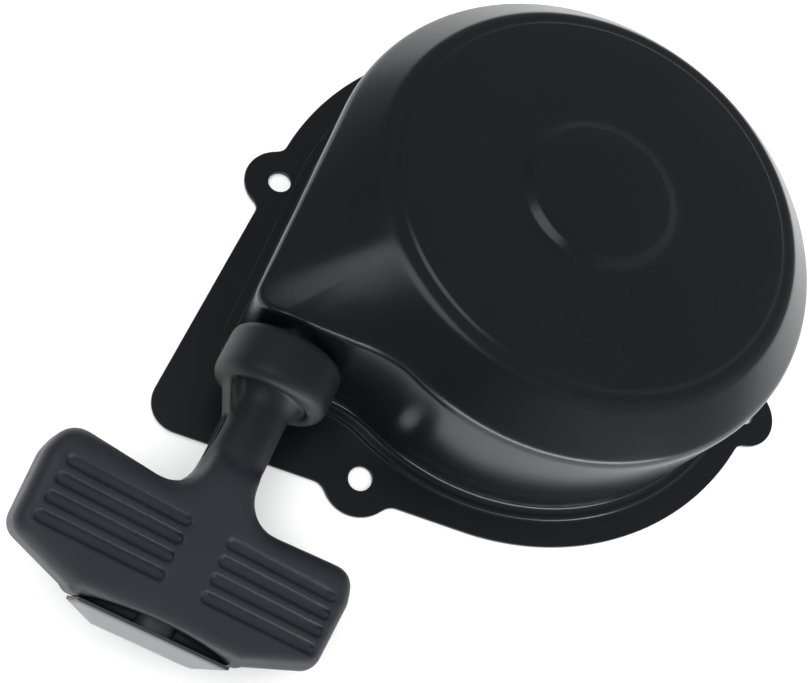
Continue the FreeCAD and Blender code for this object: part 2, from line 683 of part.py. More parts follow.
nut_blank = doc.addObject("Part::Prism", "NutBlank")
nut_blank.Polygon = 6
bind(nut_blank, Circumradius="nut_flats / sqrt(3)", Height="nut_height",
     Placement__Base__z="nut_bottom")
nut_bore = cylinder("NutBore", "post_thread_radius", "nut_bottom - 1", "brake_bottom + 1")
node(cut("Nut", nut_blank, [nut_bore]), "centre_nut")

# ---------------------------------------------------------------- handle
# The handle's pieces are made about the rope line, Y along the rope and Z up, then turned about it.


HANDLE_SEAT = Placement(Vector(-value("rope_line_x"), 0, value("rope_height")),
                        Rotation(Vector(0, 1, 0), value("grip_turn")))


def lathe_along_rope(corners):
    """A solid of revolution about the rope line from (radius, distance outwards) corners."""
    ring = [Vector(radius, -reach, 0) for radius, reach in corners]
    face = Part.Face(Part.makePolygon(ring + ring[:1]))
    return face.revolve(Vector(), Vector(0, 1, 0), 360)


def collar_and_stem():
    """The bell that covers the rope guide and the stem that carries the bar."""
    back = value("collar_back")
    front = value("collar_front")
    wide = value("collar_radius")
    stem = value("stem_radius")
    inner = wide - value("collar_wall")
    roof = back + value("collar_hollow")
    recess = front - value("collar_recess")
    bell = lathe_along_rope([
        (0, roof), (inner - value("collar_taper"), roof), (inner, back), (wide, back),
        (wide, front), (inner, front), (inner, recess), (stem + value("stem_flare"), recess),
        (stem, recess + value("stem_flare_length")), (stem, value("core_front")),
        (0, value("core_front"))])

    def rim(reach):
        return edges_at(bell, lambda spot: abs(spot.y + reach) < TOUCH and
                        math.hypot(spot.x, spot.z) > wide - TOUCH)

    bell = bell.makeFillet(value("collar_round"), rim(front))
    return bell.makeFillet(value("collar_back_round"), rim(back))


def collar_web():
    """The rib that carries the stem's left side out to the collar's rim."""
    reach = value("collar_front")
    width = value("collar_web")
    root = reach - value("collar_recess") - value("web_inset")
    outer = value("collar_radius") - value("collar_wall") + value("web_inset")
    ring = [(0, root), (-outer, root), (-outer, reach - value("web_inset")),
            (-value("stem_radius"), reach + width), (0, reach + width)]
    corners = [Vector(x, -y, -width / 2) for x, y in ring]
    return Part.Face(Part.makePolygon(corners + corners[:1])).extrude(Vector(0, 0, width))


def bar_outline():
    """The bar's plan: neck, front edges that flare forwards, sloping rear and flat centre."""
    half = value("grip_half")
    front = -value("grip_front")
    stem = value("stem_radius") - value("neck_inset")
    taper = value("grip_end_taper")
    tip = front + (half - taper - stem) * math.tan(math.radians(value("grip_rake")))
    right = [(stem, front + value("neck_length")), (stem, front), (half - taper, tip),
             (half, tip - value("grip_end_cut")), (half - taper, front - value("grip_end_depth")),
             (value("grip_shoulder"), -value("grip_back"))]
    left = [(-x, y) for x, y in reversed(right)]
    return [Vector(x, y, 0) for x, y in right + left]


def slot_rows():
    """The two ends of every finger slot, one row after another on each wing."""
    rows = []
    for row in range(round(value("slot_count"))):
        y = -value("grip_front") - value("slot_row") - row * value("slot_pitch")
        for way in (-1, 1):
            rows.append((Vector(way * value("slot_start"), y, 0), Vector(way * value("slot_end"), y, 0)))
    return rows


def core_room():
    """The square bar of the core, which the grip is moulded round."""
    half = value("core_half")
    section = value("core_section")
    return Part.makeBox(2 * half, section, section, Vector(-half, -value("core_back"), -section / 2))


def moulded_bar():
    """The bar with round necks at the stem, round corners and eased edges."""
    thick = value("grip_thickness")
    stem = value("stem_radius")
    ring = bar_outline()
    bar = Part.Face(Part.makePolygon(ring + ring[:1])).extrude(Vector(0, 0, thick))
    bar.translate(Vector(0, 0, -thick / 2))
    upright = [edge for edge in bar.Edges if abs(edge.tangentAt(edge.FirstParameter).z) > 0.9]
    spots = [edge.CenterOfMass for edge in upright if abs(edge.CenterOfMass.x) > stem + TOUCH]
    necks = [edge for edge in upright if abs(edge.CenterOfMass.y + value("grip_front")) < TOUCH]
    bar = bar.makeFillet(value("grip_neck"), necks)
    corners = edges_at(bar, lambda spot: any(math.hypot(spot.x - at.x, spot.y - at.y) < TOUCH
                                             for at in spots))
    bar = bar.makeFillet(value("grip_corner"), corners)
    rims = edges_at(bar, lambda spot: abs(abs(spot.z) - thick / 2) < TOUCH)
    return bar.makeFillet(value("grip_edge"), rims)


def rear_hollows():
    """The two shallow round hollows behind the cap, above and below a rib."""
    deep = value("rear_hollow")
    radius = (value("cap_half") ** 2 + deep ** 2) / (2 * deep)
    thick = value("grip_thickness")
    return [Part.makeCylinder(radius, thick, Vector(0, deep - radius - value("grip_back"), low))
            for low in (value("rear_rib") / 2, -value("rear_rib") / 2 - thick)]


def grip():
    body = moulded_bar().cut(rear_hollows()).fuse([collar_and_stem(), collar_web()])
    rope = value("rope_bore")
    room = value("knot_room")
    body = body.cut(lathe_along_rope([
        (0, 1), (rope, 1), (rope, value("core_back")), (room, value("core_back")),
        (room, value("grip_back") + 1), (0, value("grip_back") + 1)]))
    body = body.cut(core_room())
    top = value("grip_thickness") / 2
    deep = value("slot_depth")
    for start, stop in slot_rows():
        for low in (top - deep, -top - 1):
            body = body.cut(capsule(start, stop, value("slot_width") / 2, low, deep + 1))
    return body


node(shaped("Grip", grip(), HANDLE_SEAT), "grip")
core_bore = lathe_along_rope([
    (0, value("core_front") - 1), (value("rope_bore"), value("core_front") - 1),
    (value("rope_bore"), value("core_back") + 1), (0, value("core_back") + 1)])
node(shaped("GripCore", core_room().cut(core_bore), HANDLE_SEAT), "grip_core")


def grip_cap():
    """A plate with a plug that closes the knot's room: slanted ends, bevelled above and below."""
    half = value("cap_half")
    back = -value("grip_back")
    near = back - value("cap_gap")
    lip = near - value("cap_lip")
    deep = near - value("cap_thickness")
    tall = value("cap_height") / 2
    flat = tall - value("cap_bevel")
    ring = [Vector(-half, near, tall), Vector(-half, lip, tall), Vector(-half, deep, flat),
            Vector(-half, deep, -flat), Vector(-half, lip, -tall), Vector(-half, near, -tall)]
    plate = Part.Face(Part.makePolygon(ring + ring[:1])).extrude(Vector(2 * half, 0, 0))
    for way in (-1, 1):
        corner = [Vector(way * half, lip, -half), Vector(way * (half - value("cap_slant")), deep, -half),
                  Vector(way * half, deep, -half)]
        end = Part.Face(Part.makePolygon(corner + corner[:1])).extrude(Vector(0, 0, 2 * half))
        plate = plate.cut(end)
    room = value("knot_room") - value("running_gap")
    start = -back - value("plug_length") + value("cap_gap")
    plug = lathe_along_rope([(0, start), (room, start), (room, -near), (0, -near)])
    return plate.fuse(plug).removeSplitter()


node(shaped("GripCap", grip_cap(), HANDLE_SEAT), "grip_cap")

washer_back = value("core_back") + value("washer_thickness")
washer_edge = value("knot_room") - value("washer_play")
knot_washer = lathe_along_rope([
    (value("rope_bore"), value("core_back")), (washer_edge, value("core_back")),
    (washer_edge, washer_back), (value("rope_bore"), washer_back)])
node(shaped("KnotWasher", knot_washer, HANDLE_SEAT), "knot_washer")

knot_y = -washer_back - math.sqrt(value("knot_radius") ** 2 - value("rope_bore") ** 2)
handle_knot = ball(Vector(0, knot_y, 0), value("knot_radius"))
node(shaped("HandleKnot", handle_knot, HANDLE_SEAT), "handle_knot")

run = Part.makeCylinder(value("rope_radius"), -knot_y - 1, Vector(0, -1, 0), Vector(0, -1, 0))
node(shaped("RopeRun", run.cut(handle_knot), HANDLE_SEAT), "rope_run")

# ---------------------------------------------------------------- check and write

doc.recompute()
for thing in doc.Objects:
    if {"Invalid", "Error"} & set(thing.State):
        raise RuntimeError(f"{thing.Label} did not build: {thing.State}")
os.makedirs("parts", exist_ok=True)
for thing in NODES:
    if thing.Shape.isNull() or not thing.Shape.isValid() or not thing.Shape.Solids:
        raise RuntimeError(f"{thing.Label} has no sound shape")
    thing.Shape.exportStep(f"parts/{thing.Label}.step")
    print(f"{thing.Label:16s} solids {len(thing.Shape.Solids)} volume {thing.Shape.Volume:10.1f}")
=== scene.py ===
import math

import bmesh
import bpy
import numpy as np
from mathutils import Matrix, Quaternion, Vector
from mathutils.geometry import tessellate_polygon


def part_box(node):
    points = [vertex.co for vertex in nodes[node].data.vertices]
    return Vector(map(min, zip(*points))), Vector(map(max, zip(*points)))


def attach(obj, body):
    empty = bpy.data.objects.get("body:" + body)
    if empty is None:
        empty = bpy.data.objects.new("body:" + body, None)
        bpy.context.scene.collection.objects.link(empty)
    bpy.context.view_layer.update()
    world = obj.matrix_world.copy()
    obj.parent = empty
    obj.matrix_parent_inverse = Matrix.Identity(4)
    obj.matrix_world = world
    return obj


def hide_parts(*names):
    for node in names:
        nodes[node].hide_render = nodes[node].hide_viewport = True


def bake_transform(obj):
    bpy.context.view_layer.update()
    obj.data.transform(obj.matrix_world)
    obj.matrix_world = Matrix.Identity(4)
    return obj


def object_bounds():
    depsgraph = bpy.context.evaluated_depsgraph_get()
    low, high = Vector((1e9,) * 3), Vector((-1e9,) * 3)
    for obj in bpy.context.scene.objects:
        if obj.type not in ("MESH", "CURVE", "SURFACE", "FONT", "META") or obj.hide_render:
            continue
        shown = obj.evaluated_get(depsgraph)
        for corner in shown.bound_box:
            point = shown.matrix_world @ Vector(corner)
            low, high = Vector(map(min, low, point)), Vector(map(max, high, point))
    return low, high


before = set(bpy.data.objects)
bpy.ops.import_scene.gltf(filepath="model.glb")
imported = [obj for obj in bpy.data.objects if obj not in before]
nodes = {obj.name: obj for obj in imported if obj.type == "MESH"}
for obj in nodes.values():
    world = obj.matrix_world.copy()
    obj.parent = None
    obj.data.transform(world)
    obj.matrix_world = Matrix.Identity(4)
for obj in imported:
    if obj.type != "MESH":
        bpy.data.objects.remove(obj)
cad_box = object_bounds()

MM = 0.001


# ------------------------------------------------------------------ camera and stage

def place_camera(spot, target, roll, lens):
    """A camera at spot that looks at target, turned about its own line of sight by roll degrees."""
    data = bpy.data.cameras.new("Camera")
    data.lens = lens
    data.sensor_width = 36.0
    data.clip_start = 0.01
    camera = bpy.data.objects.new("Camera", data)
    bpy.context.collection.objects.link(camera)
    sight = (Vector(target) - Vector(spot)).to_track_quat("-Z", "Y")
    camera.rotation_mode = "QUATERNION"
    camera.rotation_quaternion = sight @ Quaternion((0, 0, 1), math.radians(roll))
    camera.location = spot
    bpy.context.scene.camera = camera


def soft_light(name, azimuth, elevation, distance, size, watts, mirrored=True):
    """A soft light, size wide by high, towards an azimuth from +Y to +X and an elevation."""
    data = bpy.data.lights.new(name, "AREA")
    data.shape = "RECTANGLE"
    data.size, data.size_y = size
    data.energy = watts
    light = bpy.data.objects.new(name, data)
    bpy.context.collection.objects.link(light)
    turn, lift = math.radians(azimuth), math.radians(elevation)
    way = Vector((math.sin(turn) * math.cos(lift), math.cos(turn) * math.cos(lift), math.sin(lift)))
    light.location = way * distance
    light.rotation_mode = "QUATERNION"
    light.rotation_quaternion = (-way).to_track_quat("-Z", "Y")
    light.visible_glossy = mirrored


def studio_world(base, glows):
    """An even sky with soft brighter or darker fields: (direction, edge, amount) each."""
    world = bpy.data.worlds.new("Studio")
    bpy.context.scene.world = world
    world.use_nodes = True
    tree = world.node_tree
    sky = tree.nodes["Background"]
    place = tree.nodes.new("ShaderNodeTexCoord")
    total = None
    for way, edge, amount in glows:
        toward = tree.nodes.new("ShaderNodeVectorMath")
        toward.operation = "DOT_PRODUCT"
        toward.inputs[1].default_value = Vector(way).normalized()
        field = tree.nodes.new("ShaderNodeMapRange")
        field.interpolation_type = "SMOOTHSTEP"
        field.inputs["From Min"].default_value = edge
        field.inputs["To Max"].default_value = amount
        tree.links.new(place.outputs["Generated"], toward.inputs[0])
        tree.links.new(toward.outputs["Value"], field.inputs["Value"])
        if total is None:
            field.inputs["To Min"].default_value = base
            field.inputs["To Max"].default_value = base + amount
            total = field.outputs["Result"]
        else:
            more = tree.nodes.new("ShaderNodeMath")
            more.operation = "ADD"
            tree.links.new(total, more.inputs[0])
            tree.links.new(field.outputs["Result"], more.inputs[1])
            total = more.outputs[0]
    sky.inputs["Color"].default_value = (0.94, 0.97, 1.0, 1.0)
    tree.links.new(total, sky.inputs["Strength"])


# Camera places in metres and its roll in degrees; each field of the sky is a direction, the cosine
# at its edge and the light it adds.
CAMERA_SPOT = (-0.05846, -0.18105, 0.28551)
CAMERA_TARGET = (-0.03436, -0.06036, 0.03)
CAMERA_ROLL = 36.3
CAMERA_LENS = 40.36
SKY = 0.155
SIDE_GLOW = ((0.95, -0.25, 0.30), 0.25, 0.20)
BACK_GLOW = ((0.1, 0.9, 0.15), 0.5, 0.08)
FRONT_SHADE = ((0.0, -0.65, 0.75), 0.75, -0.11)

bpy.context.scene.view_settings.view_transform = "Standard"
place_camera(CAMERA_SPOT, CAMERA_TARGET, CAMERA_ROLL, CAMERA_LENS)
studio_world(SKY, [SIDE_GLOW, BACK_GLOW, FRONT_SHADE])
soft_light("snout_box", -124, 65, 1.0, (0.50, 0.50), 1.3)
soft_light("low_strip", 152, 4, 1.1, (1.7, 0.12), 9.0)
soft_light("overhead", 0, 90, 1.6, (3.0, 3.0), 54.0, mirrored=False)


# ------------------------------------------------------------------ shader groups and materials

def new_group(name, inputs, outputs):
    """An empty shader group with its sockets, and its two end nodes."""
    group = bpy.data.node_groups.new(name, "ShaderNodeTree")
    for label, kind, start in inputs:
        socket = group.interface.new_socket(name=label, in_out="INPUT", socket_type=kind)
        socket.default_value = start
    for label, kind in outputs:
        group.interface.new_socket(name=label, in_out="OUTPUT", socket_type=kind)
    return group, group.nodes.new("NodeGroupInput"), group.nodes.new("NodeGroupOutput")


def add(tree, kind, **settings):
    """A shader node in this tree. Each setting fills the input of that name, or else the field."""
    made = tree.nodes.new("ShaderNode" + kind)
    for key, setting in settings.items():
        if key in made.inputs:
            made.inputs[key].default_value = setting
        else:
            setattr(made, key, setting)
    return made


def build_grain():
    """Moulded or sprayed surface grain: a height and a slow patchy mask, both 0 to 1."""
    group, enter, leave = new_group("SurfaceGrain", [
        ("Fine Scale", "NodeSocketFloat", 900.0), ("Patch Scale", "NodeSocketFloat", 30.0)], [
        ("Height", "NodeSocketFloat"), ("Patches", "NodeSocketFloat")])
    place = add(group, "TexCoord")
    fine = add(group, "TexNoise", Detail=3.0, Roughness=0.6)
    slow = add(group, "TexNoise", Detail=5.0, Roughness=0.55)
    for noise, label in ((fine, "Fine Scale"), (slow, "Patch Scale")):
        group.links.new(place.outputs["Object"], noise.inputs["Vector"])
        group.links.new(enter.outputs[label], noise.inputs["Scale"])
    group.links.new(fine.outputs["Fac"], leave.inputs["Height"])
    group.links.new(slow.outputs["Fac"], leave.inputs["Patches"])
    return group


def build_specks():
    """Sparse round specks of dust, as a mask."""
    group, enter, leave = new_group("DustSpecks", [
        ("Scale", "NodeSocketFloat", 260.0), ("Size", "NodeSocketFloat", 0.10)], [
        ("Mask", "NodeSocketFloat")])
    place = add(group, "TexCoord")
    cells = add(group, "TexVoronoi")
    small = add(group, "Math", operation="LESS_THAN")
    sparse = add(group, "TexNoise", Scale=40.0, Detail=2.0)
    chosen = add(group, "Math", operation="GREATER_THAN")
    both = add(group, "Math", operation="MULTIPLY")
    chosen.inputs[1].default_value = 0.62
    group.links.new(place.outputs["Object"], cells.inputs["Vector"])
    group.links.new(place.outputs["Object"], sparse.inputs["Vector"])
    group.links.new(enter.outputs["Scale"], cells.inputs["Scale"])
    group.links.new(cells.outputs["Distance"], small.inputs[0])
    group.links.new(enter.outputs["Size"], small.inputs[1])
    group.links.new(sparse.outputs["Fac"], chosen.inputs[0])
    group.links.new(small.outputs[0], both.inputs[0])
    group.links.new(chosen.outputs[0], both.inputs[1])
    group.links.new(both.outputs[0], leave.inputs["Mask"])
    return group


def build_braid():
    """A plaited cord: strands cross both ways over lengths U along it and turns V about it."""
    group, enter, leave = new_group("CordBraid", [
        ("U", "NodeSocketFloat", 0.0), ("V", "NodeSocketFloat", 0.0)], [
        ("Height", "NodeSocketFloat")])
    ridges = []
    for operation in ("ADD", "SUBTRACT"):
        slant = add(group, "Math", operation=operation)
        group.links.new(enter.outputs["U"], slant.inputs[0])
        group.links.new(enter.outputs["V"], slant.inputs[1])
        turn = add(group, "Math", operation="MULTIPLY")
        turn.inputs[1].default_value = math.pi
        group.links.new(slant.outputs[0], turn.inputs[0])
        wave = add(group, "Math", operation="SINE")
        group.links.new(turn.outputs[0], wave.inputs[0])
        ridge = add(group, "Math", operation="ABSOLUTE")
        group.links.new(wave.outputs[0], ridge.inputs[0])
        ridges.append(ridge)
    both = add(group, "Math", operation="MULTIPLY")
    group.links.new(ridges[0].outputs[0], both.inputs[0])
    group.links.new(ridges[1].outputs[0], both.inputs[1])
    group.links.new(both.outputs[0], leave.inputs["Height"])
    return group


GRAIN = build_grain()
SPECKS = build_specks()
BRAID = build_braid()


def finish_material(name, dark, light, rough, bump, fine, patch, metal=0.0, specks=0.0):
    """A finish between two tones and two roughnesses over patches, with fine grain in its normal."""
    material = bpy.data.materials.new(name)
    material.use_nodes = True
    tree = material.node_tree
    shader = tree.nodes["Principled BSDF"]
    grain = tree.nodes.new("ShaderNodeGroup")
    grain.node_tree = GRAIN
    grain.inputs["Fine Scale"].default_value = fine
    grain.inputs["Patch Scale"].default_value = patch
    tone = add(tree, "Mix", data_type="RGBA")
    tone.inputs["A"].default_value = (*dark, 1.0)
    tone.inputs["B"].default_value = (*light, 1.0)
    tree.links.new(grain.outputs["Patches"], tone.inputs["Factor"])
    colour = tone.outputs["Result"]
    if specks:
        dust = tree.nodes.new("ShaderNodeGroup")
        dust.node_tree = SPECKS
        dusted = add(tree, "Mix", data_type="RGBA")
        strength = add(tree, "Math", operation="MULTIPLY")
        strength.inputs[1].default_value = specks
        dusted.inputs["B"].default_value = (0.35, 0.35, 0.36, 1.0)
        tree.links.new(dust.outputs["Mask"], strength.inputs[0])
        tree.links.new(strength.outputs[0], dusted.inputs["Factor"])
        tree.links.new(colour, dusted.inputs["A"])
        colour = dusted.outputs["Result"]
    tree.links.new(colour, shader.inputs["Base Color"])
    span = add(tree, "MapRange")
    span.inputs["From Min"].default_value = 0.3
    span.inputs["From Max"].default_value = 0.7
    span.inputs["To Min"].default_value = rough[0]
    span.inputs["To Max"].default_value = rough[1]
    tree.links.new(grain.outputs["Patches"], span.inputs["Value"])
    tree.links.new(span.outputs["Result"], shader.inputs["Roughness"])
    relief = add(tree, "Bump", Distance=bump * MM, Strength=1.0)
    tree.links.new(grain.outputs["Height"], relief.inputs["Height"])
    tree.links.new(relief.outputs["Normal"], shader.inputs["Normal"])
    shader.inputs["Metallic"].default_value = metal
    return material


def painted_shade_towards(material, axis, start, stop, share):
    """Paints shade into a finish: darkens it to this share from start to stop, in metres along an
    axis of the frame.
    """
    tree = material.node_tree
    shader = tree.nodes["Principled BSDF"]
    before = shader.inputs["Base Color"].links[0].from_socket
    place = add(tree, "TexCoord")
    split = add(tree, "SeparateXYZ")
    span = add(tree, "MapRange", interpolation_type="SMOOTHSTEP")
    span.inputs["From Min"].default_value = start
    span.inputs["From Max"].default_value = stop
    span.inputs["To Min"].default_value = 1.0
    span.inputs["To Max"].default_value = share
    scale = add(tree, "VectorMath", operation="SCALE")
    tree.links.new(place.outputs["Object"], split.inputs[0])
    tree.links.new(split.outputs[axis], span.inputs["Value"])
    tree.links.new(before, scale.inputs[0])
    tree.links.new(span.outputs["Result"], scale.inputs["Scale"])
    tree.links.new(scale.outputs["Vector"], shader.inputs["Base Color"])


def scaled(tree, socket, factor):
    """This socket's value times a factor."""
    times = add(tree, "Math", operation="MULTIPLY")
    times.inputs[1].default_value = factor
    tree.links.new(socket, times.inputs[0])
    return times.outputs[0]


def rope_material(name, wound):
    """Off-white plaited cord, its plait along the rope's own length or round the reel, with painted
    shade darkening the grooves between the strands.
    """
    material = finish_material(name, (0.34, 0.32, 0.28), (0.50, 0.48, 0.43), (0.75, 0.9), 0.05,
                               2600.0, 80.0)
    tree = material.node_tree
    shader = tree.nodes["Principled BSDF"]
    place = add(tree, "TexCoord")
    split = add(tree, "SeparateXYZ")
    braid = tree.nodes.new("ShaderNodeGroup")
    braid.node_tree = BRAID
    if wound:
        turn = add(tree, "Math", operation="ARCTAN2")
        tree.links.new(place.outputs["Object"], split.inputs[0])
        tree.links.new(split.outputs["Y"], turn.inputs[0])
        tree.links.new(split.outputs["X"], turn.inputs[1])
        along = scaled(tree, turn.outputs[0], ROPE_PER_RADIAN / PLAIT_PITCH)
        about = scaled(tree, split.outputs["Z"], 1 / PLAIT_STRAND)
    else:
        tree.links.new(place.outputs["UV"], split.inputs[0])
        along = scaled(tree, split.outputs["X"], 1 / PLAIT_PITCH)
        about = scaled(tree, split.outputs["Y"], PLAIT_STRANDS)
    tree.links.new(along, braid.inputs["U"])
    tree.links.new(about, braid.inputs["V"])
    relief = add(tree, "Bump", Distance=PLAIT_RELIEF * MM, Strength=0.9)
    tree.links.new(braid.outputs["Height"], relief.inputs["Height"])
    tree.links.new(shader.inputs["Normal"].links[0].from_socket, relief.inputs["Normal"])
    tree.links.new(relief.outputs["Normal"], shader.inputs["Normal"])
    # Painted shade: the base colour darkens in the grooves between the strands, most where the braid
    # is lowest.
    groove_shade = add(tree, "Mix", data_type="RGBA", blend_type="MULTIPLY")
    depth = add(tree, "MapRange")
    depth.inputs["To Min"].default_value = 0.75
    depth.inputs["To Max"].default_value = 0.0
    tree.links.new(braid.outputs["Height"], depth.inputs["Value"])
    tree.links.new(depth.outputs["Result"], groove_shade.inputs["Factor"])
    tree.links.new(shader.inputs["Base Color"].links[0].from_socket, groove_shade.inputs["A"])
    groove_shade.inputs["B"].default_value = (0.30, 0.28, 0.25, 1.0)
    tree.links.new(groove_shade.outputs["Result"], shader.inputs["Base Color"])
    return material


# Plait sizes and the places of painted shade in metres, the plait's relief in millimetres.
PLAIT_PITCH = 0.0034
PLAIT_STRAND = 0.0011
PLAIT_STRANDS = 8.0
PLAIT_RELIEF = 0.35
ROPE_PER_RADIAN = 0.060
NECK_STARTS = -0.130
NECK_ENDS = -0.108
NECK_PAINTED_SHADE = 0.35
LIP_STARTS = -0.1688
LIP_ENDS = -0.1678
LIP_PAINTED_SHADE = 0.12

BLACK_PAINT = finish_material("black_paint", (0.0045, 0.0055, 0.0072), (0.0062, 0.0074, 0.0094),
                              (0.21, 0.26), 0.006, 700.0, 22.0)
GRIP_RUBBER = finish_material("grip_rubber", (0.0095, 0.012, 0.0155), (0.015, 0.018, 0.023),
                              (0.44, 0.58), 0.04, 1300.0, 45.0, specks=0.05)
# Painted shade: the stem's rubber darkens towards the collar, where the collar shades it.
painted_shade_towards(GRIP_RUBBER, "Y", NECK_STARTS, NECK_ENDS, NECK_PAINTED_SHADE)
CAP_PLASTIC = finish_material("cap_plastic", (0.17, 0.18, 0.19), (0.22, 0.23, 0.24),
                              (0.42, 0.52), 0.02, 1500.0, 40.0)
# Painted shade: the cap's lip darkens next to the bar's rear, where the bar shades it.
painted_shade_towards(CAP_PLASTIC, "Y", LIP_STARTS, LIP_ENDS, LIP_PAINTED_SHADE)
PLAIN_STEEL = finish_material("plain_steel", (0.42, 0.43, 0.44), (0.58, 0.59, 0.60),
                              (0.24, 0.40), 0.01, 1200.0, 60.0, metal=1.0)
SPRING_STEEL = finish_material("spring_steel", (0.12, 0.13, 0.15), (0.24, 0.25, 0.28),
                               (0.22, 0.38), 0.008, 900.0, 35.0, metal=1.0)
REEL_PLASTIC = finish_material("reel_plastic", (0.020, 0.021, 0.023), (0.030, 0.031, 0.034),
                               (0.42, 0.55), 0.03, 1100.0, 40.0)
BUSH_BRASS = finish_material("bush_brass", (0.52, 0.36, 0.14), (0.68, 0.50, 0.22),
                             (0.25, 0.40), 0.008, 900.0, 60.0, metal=1.0)
ROPE_FIBRE = rope_material("rope_fibre", False)
WOUND_ROPE = rope_material("wound_rope", True)


# ------------------------------------------------------------------ mesh helpers

def mesh_object(name, verts, faces, material, smooth_below=35.0):
    """A new object with this one material, smooth below an angle."""
    mesh = bpy.data.meshes.new(name)
    mesh.from_pydata([tuple(v) for v in verts], [], faces)
    mesh.validate()
    made = bpy.data.objects.new(name, mesh)
    bpy.context.collection.objects.link(made)
    mesh.materials.append(material)
    shade(made, smooth_below)
    return made


def shade(thing, smooth_below):
    """Smooth shading, with edges sharper than this angle left crisp."""
    thing.data.polygons.foreach_set("use_smooth", [True] * len(thing.data.polygons))
    thing.data.set_sharp_from_angle(angle=math.radians(smooth_below))


def applied(thing):
    """The same object, its modifiers applied to its mesh."""
    bpy.context.view_layer.update()
    graph = bpy.context.evaluated_depsgraph_get()
    finished = bpy.data.meshes.new_from_object(thing.evaluated_get(graph))
    thing.modifiers.clear()
    thing.data = finished
    return thing


# ------------------------------------------------------------------ housing

# The pressing's sizes in millimetres, about the reel axis on the flange's mating face.
STEEL = 1.6
DOME_RADIUS = 87.3
DRAFT = math.tan(math.radians(4.1))
LEAN = math.radians(2.5)
TOP_RADIUS = 69.2
TOP_HEIGHT = 61.7
SHOULDER_HEIGHT = 49.1
STEP_RADIUS = 65.0
STEP_RISE = 0.6
BOSS_RADIUS = 25.8
BOSS_CREST = 23.0
BOSS_RISE = 1.8
SNOUT_FRONT = 79.0
SNOUT_CORNER = 9.0
SNOUT_BLEND = 40.0
SNOUT_HEIGHT = 45.5
FLANGE_RADIUS = 100.0
SKIRT_LEFT = 98.5
SKIRT_SLOPE = math.radians(6.3)
SKIRT_ROUND = 12.0
SKIRT_TOP = -12.0
EAR_RADIUS = 12.5
EAR_THROAT = 2.8
EAR_HOLE = 4.0
EARS = [(-96.0, -12.0), (96.0, -12.0), (-27.0, -98.0), (-27.0, 98.0)]
GUIDE_HOLE = 5.2
GUIDE_CUT = 14.0

# The low ledge round the dome's root: how far out from the wall, and how high over the flange.
LEDGE_RISE = 0.85
LEDGE = [(4.9, 0.0), (4.6, 0.04), (4.35, 0.16), (4.15, 0.36), (3.95, 0.58), (3.7, 0.76),
         (3.4, 0.83), (3.05, LEDGE_RISE), (2.5, LEDGE_RISE)]

# Bends of the pressing, and where the rings lie between them.
ROOT_BEND = 2.0
INNER_ROOT_BEND = 2.6
SHOULDER_ROUND = 2.4
BROW_ROUND = 2.2
BEND_STEPS = 8
BROW_STEPS = 6
TOWARDS_MIDDLE = 0.9
WALL_SHARES = (0.12, 0.3, 0.5, 0.7, 0.88)
ROOF_SHARES = (0.15, 0.35, 0.55, 0.75, 0.92)

# The roof's straight lines: how deep their feet lie, and where on the top's rim they end.
ROOF_DEPTH = 12.8
ROOF_BLEND = 28.0
FRONT_ON_RIM = math.radians(55)
CORNER_ON_RIM = (math.radians(219), math.radians(226))
BLEND_ON_RIM = math.radians(6)
WALL_TOP = 60.0
MEETING_PASSES = 12

# Cut edges, and how finely each outline is drawn.
EDGE_ROUND = 0.35
HOLE_ROUND = 0.3
HOLE_SIDES = 64
RIM_STATIONS = 1440
RIM_PASSES = 44
COUNTS = (230, 36, 18, 30, 18)
ROOF_COUNTS = (400, 120, 60, 120, 60)
HOUSING_CRISP = 28.0


def snout_outline(radius, front, corner, blend):
    """Plan outline of the dome: circle, left wall, corner, front wall and hollow blend.

    Returns a function for each of the five, which gives the point at a share from 0 to 1 along it,
    and the angle at which the blend meets the circle.
    """
    leave_turn = math.pi + LEAN
    leave = np.array([math.cos(leave_turn), math.sin(leave_turn)]) * radius
    inward = np.array([math.cos(LEAN), math.sin(LEAN)])
    corner_y = -front + corner
    corner_x = leave[0] + (corner - (corner_y - leave[1]) * inward[1]) / inward[0]
    centre = np.array([corner_x, corner_y])
    blend_y = -front - blend
    blend_x = -math.sqrt((radius + blend) ** 2 - blend_y ** 2)
    hollow = np.array([blend_x, blend_y])
    join = math.atan2(blend_y, blend_x) % (2 * math.pi)

    def ring(middle, size, start, stop, share):
        turn = start + (stop - start) * share
        return middle + size * np.array([math.cos(turn), math.sin(turn)])

    return [
        lambda s: ring(np.zeros(2), radius, join - 2 * math.pi, leave_turn, s),
        lambda s: leave + (centre - inward * corner - leave) * s,
        lambda s: ring(centre, corner, leave_turn, 1.5 * math.pi, s),
        lambda s: np.array([corner_x + (blend_x - corner_x) * s, -front]),
        lambda s: ring(hollow, blend, 0.5 * math.pi, join - math.pi, s),
    ], join


def stations(parts):
    """Points round an outline, spaced evenly within each of its five stretches."""
    points = []
    for part, count in zip(parts, COUNTS):
        points += [part(step / count) for step in range(count)]
    return np.array(points)


def wall_points(inset, height):
    """The dome's wall outline at this height."""
    step = inset + height * DRAFT
    parts, _ = snout_outline(DOME_RADIUS - step, SNOUT_FRONT - step, SNOUT_CORNER - step,
                             SNOUT_BLEND + step)
    return stations(parts)


def outward(points):
    """Unit normals in plan, pointing out of the closed outline."""
    along = np.roll(points, -1, axis=0) - np.roll(points, 1, axis=0)
    along /= np.linalg.norm(along, axis=1)[:, None]
    return np.stack([along[:, 1], -along[:, 0]], axis=1)


